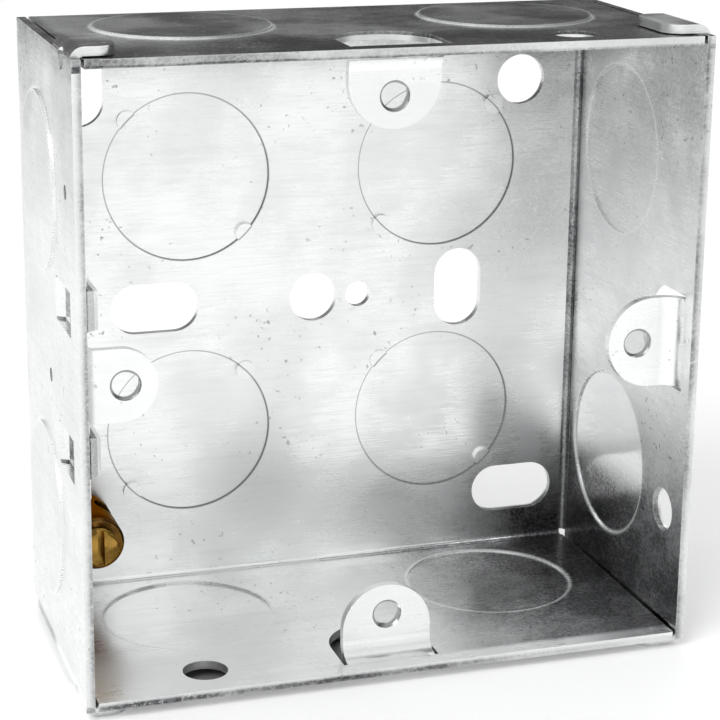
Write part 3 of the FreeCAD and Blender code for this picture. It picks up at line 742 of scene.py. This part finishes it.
@dataclass(frozen=True)
class ZincFinish:
    """Zinc on rolled steel sheet: bright, streaked along the roll, mottled and rubbed, with painted shade and
    painted highlights placed on the sheet.
    """

    name: str
    bright: Colour = (0.93, 0.935, 0.935)
    clouded: Colour = (0.72, 0.73, 0.74)
    # The dark colour of the painted shade and the dulling.
    dull_and_painted_shade: Colour = (0.09, 0.09, 0.095)
    speck: Colour = (0.10, 0.10, 0.10)
    line: Colour = (0.12, 0.12, 0.125)
    # The colour of bright worn edges and scratches, also used for the painted highlights on the lugs, the rim and
    # the crowns.
    edge: Colour = (0.915, 0.93, 0.925)
    cloud_share: float = 0.18
    rub_share: float = 0.14
    scratch_shine: float = 0.35
    speck_share: float = 0.25
    dull_speck_share: float = 0.6
    edge_shine: float = 0.6
    lug_painted_highlight: float = 0.6
    rim_painted_highlight: float = 0.8
    crown_painted_highlight: float = 0.65
    line_share: float = 0.80
    streak_rough: float = 0.20
    speck_rough: float = 0.3
    polish: float = 0.7
    frost: float = 0.45
    smooth: float = 0.20
    rough: float = 0.36
    patch_size: float = 60.0
    streak_depth: float = 0.010 * MM
    grain_depth: float = 0.004 * MM

    def build(self, effects: Effects) -> Material:
        """Makes the material.

        Args:
            effects: the shared shader groups.

        Returns:
            The material.
        """
        material, graph, surface = new_material(self.name)
        roll = effects.place(graph, "rolled streaks")
        bloom = effects.place(graph, "zinc bloom", Patch_Size=self.patch_size)
        marks = effects.place(graph, "handling marks")
        edges = effects.place(graph, "soft edges")
        places = effects.place(graph, "sheet places")
        streaks, bands = roll.outputs["Streaks"], roll.outputs["Bands"]
        patches, specks, grain = (bloom.outputs[name] for name in ("Patches", "Specks", "Grain"))
        lines, painted_highlights, frost, lugs, rims, dull_and_painted_shade, polish = (
            places.outputs[name] for name in ("Lines", "Painted Highlights", "Frost", "Lugs", "Rims", "Dulling And Painted Shade", "Polish"))
        colour = graph.blend(graph.times(patches, self.cloud_share), self.bright, self.clouded)
        colour = graph.blend(graph.ramp(bands, 0.50, 0.72, 0.0, 0.18), colour, self.clouded)
        colour = graph.blend(graph.ramp(streaks, 0.48, 0.70, 0.0, 0.16), colour, self.clouded)
        colour = graph.blend(graph.times(marks.outputs["Rubs"], self.rub_share), colour, self.clouded)
        mottled = graph.ramp(grain, 0.36, 0.66, 0.86, 1.10)
        # Painted shade: the colour darkens where the sheet places lay painted shade and dulling.
        colour = graph.blend(graph.math("MULTIPLY", dull_and_painted_shade, mottled, True), colour, self.dull_and_painted_shade)
        colour = graph.blend(graph.times(marks.outputs["Scratches"], self.scratch_shine), colour, self.edge)
        speck_share = graph.plus(graph.times(dull_and_painted_shade, self.dull_speck_share), self.speck_share)
        colour = graph.blend(graph.math("MULTIPLY", specks, speck_share, True), colour, self.speck)
        colour = graph.blend(graph.times(edges.outputs["Edges"], self.edge_shine), colour, self.edge)
        # Painted highlight that lightens the lug faces.
        colour = graph.blend(graph.times(lugs, self.lug_painted_highlight), colour, self.edge)
        # Painted highlight on the rim, less where painted shade lies on it.
        colour = graph.blend(graph.times(rims, graph.rest(dull_and_painted_shade), self.rim_painted_highlight), colour, self.edge)
        # Painted highlights on the crowns round the walls' discs, the back's nibs and the lower fold.
        colour = graph.blend(graph.times(painted_highlights, self.crown_painted_highlight), colour, self.edge)
        colour = graph.blend(graph.times(lines, self.line_share), colour, self.line)
        rough = graph.plus(graph.times(patches, self.rough - self.smooth), self.smooth)
        rough = graph.plus(rough, graph.times(graph.math("SUBTRACT", streaks, 0.5), self.streak_rough))
        rough = graph.math("ADD", rough, graph.times(specks, self.speck_rough), True)
        rolled = graph.add("ShaderNodeBump")
        graph.feed(rolled, Strength=0.3, Distance=self.streak_depth, Height=streaks)
        grained = graph.add("ShaderNodeBump")
        graph.feed(grained, Strength=0.4, Distance=self.grain_depth, Height=grain, Normal=rolled.outputs[0])
        rough = graph.times(rough, graph.rest(graph.times(polish, self.polish)))
        metal = graph.rest(graph.times(frost, self.frost))
        graph.feed(surface, Base_Color=colour, Metallic=metal, Roughness=rough, Normal=grained.outputs[0])
        return material


@dataclass(frozen=True)
class BrassFinish:
    """Turned brass with its lathe rings round the Y axis and a brown tarnish."""

    name: str
    bright: Colour = (0.16, 0.08, 0.017)
    tarnish: Colour = (0.045, 0.022, 0.007)
    edge: Colour = (0.45, 0.28, 0.08)
    graze: Colour = (0.55, 0.38, 0.22)
    cover: float = 0.9

    def build(self, effects: Effects) -> Material:
        """Makes the material.

        Args:
            effects: the shared shader groups.

        Returns:
            The material.
        """
        material, graph, surface = new_material(self.name)
        turned = effects.place(graph, "turned rings")
        edges = effects.place(graph, "soft edges", Radius=0.0002)
        rings, tarnish = turned.outputs["Rings"], turned.outputs["Tarnish"]
        colour = graph.blend(graph.math("MULTIPLY", tarnish, self.cover), self.bright, self.tarnish)
        colour = graph.blend(graph.ramp(rings, 0.5, 0.68, 0.0, 0.35), colour, self.tarnish)
        colour = graph.blend(graph.math("MULTIPLY", edges.outputs["Edges"], 0.6), colour, self.edge)
        rough = graph.math("ADD", graph.math("MULTIPLY", tarnish, 0.22), graph.math("MULTIPLY", rings, 0.4), True)
        bump = graph.add("ShaderNodeBump")
        graph.feed(bump, Strength=0.4, Distance=0.01 * MM, Height=rings)
        graph.feed(surface, Base_Color=colour, Metallic=1.0, Roughness=rough, Normal=bump.outputs[0])
        surface.inputs["Specular Tint"].default_value = (*self.graze, 1.0)
        return material


@dataclass(frozen=True)
class FloorFinish:
    """Matt white paper that also shows white where the camera or the metal sees it, with a painted shadow under the
    box.
    """

    name: str = "matt white paper"
    colour: Colour = (0.86, 0.86, 0.86)
    shade: Colour = (0.81, 0.81, 0.82)
    glow: float = 0.18
    painted_shadow: Colour = (0.18, 0.18, 0.18)
    half: float = 34.0 * MM
    fade: float = 4.0 * MM
    front: float = -32.3 * MM
    back: float = -1.0 * MM

    def painted_box_shadow(self, graph: Graph, place: Socket) -> Socket:
        """Masks the paper that the box stands on, with a soft edge behind it and to its right, where a painted
        shadow darkens it.

        Args:
            graph: the material's graph.
            place: the paper's own coordinates, in metres.

        Returns:
            The mask.
        """
        axes = graph.add("ShaderNodeSeparateXYZ")
        graph.join(place, axes.inputs[0])
        beside = graph.math("GREATER_THAN", axes.outputs["X"], -self.half)
        across = graph.math("MULTIPLY", beside, graph.ramp(axes.outputs["X"], self.half + self.fade, self.half))
        behind = graph.ramp(axes.outputs["Y"], self.back + self.fade, self.back)
        deep = graph.math("MULTIPLY", graph.math("GREATER_THAN", axes.outputs["Y"], self.front), behind)
        return graph.math("MULTIPLY", across, deep)

    def build(self) -> Material:
        """Makes the material.

        Returns:
            The material.
        """
        material, graph, surface = new_material(self.name)
        place = graph.add("ShaderNodeTexCoord").outputs["Object"]
        fibres = graph.noise(place, 1800.0, 1.0)
        shaded = graph.ramp(graph.noise(place, 6.0, 1.0), 0.4, 0.6, 0.0, 0.05)
        tone = graph.blend(shaded, self.colour, self.shade)
        # A painted shadow darkens the paper under the box and takes its glow away.
        painted_shadow = self.painted_box_shadow(graph, place)
        tone = graph.blend(painted_shadow, tone, self.painted_shadow)
        path = graph.add("ShaderNodeLightPath")
        rays = (path.outputs[f"Is {name} Ray"] for name in ("Camera", "Glossy", "Transmission"))
        seen = graph.times(graph.most(*rays), graph.rest(painted_shadow))
        bump = graph.add("ShaderNodeBump")
        graph.feed(bump, Strength=0.2, Distance=0.05 * MM, Height=fibres)
        graph.feed(surface, Base_Color=tone, Roughness=0.8, Normal=bump.outputs[0])
        surface.inputs["Specular IOR Level"].default_value = 0.1
        surface.inputs["Emission Color"].default_value = (1.0, 1.0, 1.0, 1.0)
        graph.join(graph.math("MULTIPLY", seen, self.glow), surface.inputs["Emission Strength"])
        return material


def mesh_object(name: str, mesh: Shape, material: Material, smooth: float = 35.0) -> Piece:
    """Turns a bmesh into an object with outward, angle-smoothed faces.

    Args:
        name: the object's name.
        mesh: its shape, which is freed.
        material: its finish.
        smooth: the angle in degrees above which an edge stays sharp.

    Returns:
        The object, linked to the scene.
    """
    bmesh.ops.remove_doubles(mesh, verts=mesh.verts, dist=1e-7)
    bmesh.ops.recalc_face_normals(mesh, faces=mesh.faces)
    data = bpy.data.meshes.new(name)
    mesh.to_mesh(data)
    mesh.free()
    data.materials.append(material)
    data.shade_smooth()
    data.set_sharp_from_angle(angle=math.radians(smooth))
    made = bpy.data.objects.new(name, data)
    bpy.context.scene.collection.objects.link(made)
    return made


def add_rings(mesh: Shape, rings: Sequence[Sequence[Vector]], closed: bool, capped: bool) -> None:
    """Joins rings of points by quads.

    Args:
        mesh: where the faces go.
        rings: the rings, each with the same number of points.
        closed: whether the last ring joins the first.
        capped: whether the first and last rings are filled.
    """
    verts = [[mesh.verts.new(point) for point in ring] for ring in rings]
    pairs = list(zip(verts, verts[1:])) + ([(verts[-1], verts[0])] if closed else [])
    for one, two in pairs:
        for k in range(len(one)):
            after = (k + 1) % len(one)
            mesh.faces.new((one[k], one[after], two[after], two[k]))
    if capped:
        mesh.faces.new(verts[0])
        mesh.faces.new(list(reversed(verts[-1])))


@dataclass
class TappedThread:
    """Thread ridge inside a tapped hole whose axis lies along Y, from the hole's wall to the core."""

    centre: Point
    wall: float = 1.75 * MM
    core: float = 1.43 * MM
    pitch: float = 0.6 * MM
    front: float = -31.0 * MM
    back: float = -30.0 * MM
    steps: int = 48

    def build(self, name: str, material: Material) -> Piece:
        """Makes the ridge.

        Args:
            name: the object's name.
            material: its finish.

        Returns:
            The ridge.
        """
        mesh = bmesh.new()
        inset = 0.28 * self.pitch
        turns = (self.back - self.front - 2 * inset) / self.pitch
        count = int(turns * self.steps)
        rings = []
        for step in range(count + 1):
            angle = 2 * math.pi * step / self.steps
            depth = self.front + inset + self.pitch * step / self.steps
            fade = min(1.0, step / 8, (count - step) / 8)
            inner = self.wall - max(fade, 0.05) * (self.wall - self.core)
            outline = ((self.wall + 0.03 * MM, -0.24), (inner, -0.04), (inner, 0.04), (self.wall + 0.03 * MM, 0.24))
            rings.append([
                Vector((
                    self.centre[0] + radius * math.cos(angle),
                    depth + shift * self.pitch,
                    self.centre[2] + radius * math.sin(angle)))
                for radius, shift in outline])
        add_rings(mesh, rings, closed=False, capped=True)
        return mesh_object(name, mesh, material)


@dataclass
class FoldedShell:
    """The punched and folded sheet, with the threads of its three fixed lugs."""

    finish: ZincFinish
    shaded_thread_finish: ZincFinish
    lugs: dict[str, Point] = field(default_factory=lambda: {
        "right": (30.15 * MM, 0.0, 0.0), "top": (0.0, 0.0, 30.15 * MM), "bottom": (0.0, 0.0, -30.15 * MM)})

    def build(self, effects: Effects) -> None:
        """Dresses the sheet and adds its threads."""
        dress(Node.SHELL, self.finish.build(effects))
        cut = self.shaded_thread_finish.build(effects)
        for side, centre in self.lugs.items():
            ridge = TappedThread(centre).build(f"{side}_shaded_lug_thread", cut)
            attach(ridge, Body.BOX)


@dataclass
class SlidingLug:
    """The levelling lug behind the left wall's straps, with its thread."""

    finish: ZincFinish
    shaded_thread_finish: ZincFinish
    centre: Point = (-30.15 * MM, 0.0, 0.0)

    def build(self, effects: Effects) -> None:
        """Dresses the lug and adds its thread."""
        dress(Node.LUG, self.finish.build(effects))
        ridge = TappedThread(self.centre).build("sliding_shaded_lug_thread", self.shaded_thread_finish.build(effects))
        attach(ridge, Body.LUG)


@dataclass
class EarthTerminal:
    """The turned brass post with its rivet tail, and its slotted clamping screw."""

    post_finish: BrassFinish
    screw_finish: BrassFinish
    thread_depth: float = 0.32 * MM
    pitch: float = 0.7 * MM
    slot_width: float = 0.8 * MM
    slot_depth: float = 1.1 * MM
    tail_radius: float = 2.7 * MM
    tail_height: float = 0.24 * MM
    axis: Point = field(init=False)
    screw_radius: float = field(init=False)

    def __post_init__(self) -> None:
        """Takes the axis and the screw's radius from the screw's solid."""
        low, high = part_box(Node.SCREW.value)
        self.axis = ((low.x + high.x) / 2, 0.0, (low.z + high.z) / 2)
        self.screw_radius = (high.x - low.x) / 2

    def build(self, effects: Effects) -> None:
        """Dresses the post and makes the rivet tail and the threaded screw."""
        brass = self.post_finish.build(effects)
        dress(Node.POST, brass)
        attach(self.rivet_tail(brass), Body.BOX)
        screw = self.threaded_screw(self.screw_finish.build(effects))
        attach(screw, Body.SCREW)
        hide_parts(Node.SCREW.value)

    def threaded_screw(self, brass: Material) -> Piece:
        """Makes the screw with its thread, rounded end and driver slot, where its solid is.

        Args:
            brass: its finish.

        Returns:
            The screw.
        """
        low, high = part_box(Node.SCREW.value)
        front, back = low.y, high.y
        around, rows = 48, int((back - front) / (self.pitch / 10))
        mesh = bmesh.new()
        rings = []
        for row in range(rows + 1):
            depth = front + (back - front) * row / rows
            edge = min(depth - front, back - depth)
            lead = min(1.0, max(0.0, (edge - 0.2 * MM) / (0.5 * MM)))
            ring = []
            for step in range(around):
                angle = 2 * math.pi * step / around
                turn = (depth / self.pitch - step / around) % 1.0
                valley = max(0.0, 1.0 - abs(turn - 0.5) / 0.40)
                radius = self.screw_radius - self.thread_depth * valley * lead
                radius -= 0.25 * MM * max(0.0, 1.0 - edge / (0.25 * MM)) ** 2
                ring.append(Vector((
                    self.axis[0] + radius * math.cos(angle), depth, self.axis[2] + radius * math.sin(angle))))
            rings.append(ring)
        add_rings(mesh, rings, closed=False, capped=True)
        screw = mesh_object("slotted_clamping_screw", mesh, brass, 50.0)
        self.cut_slot(screw, front)
        return screw

    def cut_slot(self, screw: Piece, front: float) -> None:
        """Cuts the driver slot across the screw's front end.

        Args:
            screw: the screw to cut.
            front: where its front end is along Y.
        """
        cutter = bmesh.new()
        bmesh.ops.create_cube(cutter, size=1.0)
        size = Vector((self.slot_width, 2 * self.slot_depth, 3 * self.screw_radius))
        for vert in cutter.verts:
            vert.co = Vector(a * b for a, b in zip(vert.co, size)) + Vector((self.axis[0], front, self.axis[2]))
        blade = mesh_object("slot_blade", cutter, screw.data.materials[0])
        cut = screw.modifiers.new("driver slot", "BOOLEAN")
        cut.operation, cut.solver, cut.object = "DIFFERENCE", "EXACT", blade
        shape = bpy.data.meshes.new_from_object(screw.evaluated_get(bpy.context.evaluated_depsgraph_get()))
        screw.modifiers.clear()
        screw.data = shape
        screw.data.set_sharp_from_angle(angle=math.radians(50.0))
        bpy.data.objects.remove(blade)

    def rivet_tail(self, brass: Material) -> Piece:
        """Makes the post's tail, spread over the back wall outside.

        Args:
            brass: its finish.

        Returns:
            The tail.
        """
        around = 40
        def hammered(angle: float) -> float:
            """Gives the uneven round that a hammered head has."""
            return 1 + 0.03 * math.sin(5 * angle) + 0.02 * math.sin(3 * angle + 1)

        mesh = bmesh.new()
        outline = (
            (self.tail_radius, -0.3 * MM), (self.tail_radius, 0.08 * MM),
            (0.86 * self.tail_radius, 0.19 * MM), (0.6 * self.tail_radius, self.tail_height),
            (0.32 * self.tail_radius, 0.2 * MM), (0.12 * self.tail_radius, 0.12 * MM))
        rings = [[
            Vector((
                self.axis[0] + radius * hammered(angle) * math.cos(angle),
                depth,
                self.axis[2] + radius * hammered(angle) * math.sin(angle)))
            for angle in (2 * math.pi * step / around for step in range(around))] for radius, depth in outline]
        add_rings(mesh, rings, closed=False, capped=True)
        return mesh_object("post_rivet_tail", mesh, brass)


def dress(node: Node, material: Material) -> None:
    """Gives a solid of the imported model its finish.

    Args:
        node: the solid.
        material: its finish.
    """
    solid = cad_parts[node.value]
    solid.data.materials.clear()
    solid.data.materials.append(material)
    log.info("dressed %s with %s", node.value, material.name)


def attach(piece: Piece, body: Body) -> None:
    """Makes a new piece move with a body.

    Args:
        piece: the new piece.
        body: what carries it.
    """
    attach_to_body(piece, body.value)
    log.info("made %s with %d faces on %s", piece.name, len(piece.data.polygons), body.value)


@dataclass
class SoftLamp:
    """A square lamp aimed at the box."""

    name: str
    place: Point
    size: float
    power: float
    target: Point = (0.0, 0.0, 0.0)

    def build(self) -> None:
        """Makes the lamp and turns it to its target."""
        data = bpy.data.lights.new(self.name, "AREA")
        data.shape, data.size, data.energy = "SQUARE", self.size, self.power
        lamp = bpy.data.objects.new(self.name, data)
        lamp.location = self.place
        lamp.rotation_euler = (Vector(self.target) - Vector(self.place)).to_track_quat("-Z", "Y").to_euler()
        bpy.context.scene.collection.objects.link(lamp)


@dataclass
class Studio:
    """White paper under the box, a room that is bright on the left and dim on the right, and soft lamps."""

    floor: FloorFinish
    half_width: float = 3.0
    dim: Colour = (0.10, 0.10, 0.10)
    window: Colour = (0.95, 0.96, 0.955)
    ceiling: Colour = (0.85, 0.86, 0.855)
    window_aim: Point = (-0.87, -0.50, 0.0)
    lamps: tuple[SoftLamp, ...] = (
        SoftLamp("key lamp", (-0.55, -0.50, 0.70), 0.5, 5.0),
        SoftLamp("rear lamp", (0.3, 0.7, 0.8), 0.6, 1.5),
    )

    def build(self) -> None:
        """Makes the paper, the room's light and the lamps."""
        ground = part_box(Node.SHELL.value)[0].z
        mesh = bmesh.new()
        corners = ((-1, -1), (1, -1), (1, 1), (-1, 1))
        mesh.faces.new([mesh.verts.new((x * self.half_width, y * self.half_width, ground)) for x, y in corners])
        paper = mesh_object("paper_floor", mesh, self.floor.build())
        self.light_room()
        for lamp in self.lamps:
            lamp.build()
        log.info("set the studio with %d lamps", len(self.lamps))

    def light_room(self) -> None:
        """Makes the room's light: dim to the right, bright to the left and pale overhead."""
        world = bpy.data.worlds.new("studio room")
        world.use_nodes = True
        world.node_tree.nodes.clear()
        graph = Graph(world.node_tree)
        direction = graph.add("ShaderNodeTexCoord").outputs["Generated"]
        axes = graph.add("ShaderNodeSeparateXYZ")
        graph.join(direction, axes.inputs[0])
        aim = graph.add("ShaderNodeVectorMath", operation="DOT_PRODUCT")
        graph.join(direction, aim.inputs[0])
        graph.join(self.window_aim, aim.inputs[1])
        tone = graph.blend(graph.ramp(aim.outputs["Value"], -0.12, 0.14), self.dim, self.window)
        tone = graph.blend(graph.ramp(axes.outputs["Z"], 0.40, 0.85), tone, self.ceiling)
        background = graph.add("ShaderNodeBackground")
        graph.join(tone, background.inputs["Color"])
        output = graph.add("ShaderNodeOutputWorld")
        graph.join(background.outputs[0], output.inputs["Surface"])
        bpy.context.scene.world = world


@dataclass
class PhotoCamera:
    """The camera where the photograph was taken from, with the small shift of its framing."""

    place: Point = (-75.99 * MM, -251.02 * MM, 69.70 * MM)
    heading: float = 17.601
    pitch: float = -15.643
    roll: float = 0.526
    lens: float = 108.705
    shift: tuple[float, float] = (0.03, -0.05)

    def build(self) -> None:
        """Makes the camera and gives it to the scene."""
        data = bpy.data.cameras.new("photo camera")
        data.lens, data.sensor_width, data.sensor_fit = self.lens, 36.0, "HORIZONTAL"
        data.shift_x, data.shift_y = self.shift
        data.clip_start, data.clip_end = 0.01, 20.0
        turn, tilt, roll = (math.radians(angle) for angle in (self.heading, self.pitch, self.roll))
        forward = Vector((math.sin(turn) * math.cos(tilt), math.cos(turn) * math.cos(tilt), math.sin(tilt)))
        level = Vector((math.cos(turn), -math.sin(turn), 0.0))
        upright = level.cross(forward)
        right = level * math.cos(roll) + upright * math.sin(roll)
        camera = bpy.data.objects.new("photo camera", data)
        turn = Matrix((right, right.cross(forward), -forward)).transposed().to_4x4()
        camera.matrix_world = Matrix.Translation(self.place) @ turn
        bpy.context.scene.collection.objects.link(camera)
        bpy.context.scene.camera = camera
        log.info("placed the camera %.0f mm from the box", Vector(self.place).length / MM)


def main() -> None:
    """Builds the camera, the studio and the box's pieces in order."""
    logging.basicConfig(level=logging.INFO, format="%(name)s: %(message)s")
    bpy.context.scene.view_settings.view_transform = "Standard"
    effects = Effects()
    PhotoCamera().build()
    Studio(FloorFinish()).build()
    # The threads get a darker copy of the zinc: painted shade inside the tapped holes.
    shaded_cut_thread = ZincFinish(
        "cut thread in painted shade", bright=(0.30, 0.30, 0.30), clouded=(0.16, 0.16, 0.16), edge=(0.70, 0.71, 0.72),
        lug_painted_highlight=0.0)
    shaded_lug_thread = replace(shaded_cut_thread, name="lug thread in painted shade")
    FoldedShell(ZincFinish("rolled zinc sheet"), shaded_cut_thread).build(effects)
    SlidingLug(ZincFinish("rolled zinc lug", patch_size=90.0), shaded_lug_thread).build(effects)
    EarthTerminal(
        BrassFinish("turned brass post"),
        BrassFinish("turned brass screw", bright=(0.40, 0.235, 0.05), tarnish=(0.12, 0.06, 0.012), cover=0.7),
    ).build(effects)


if __name__ == "__main__":
    main()
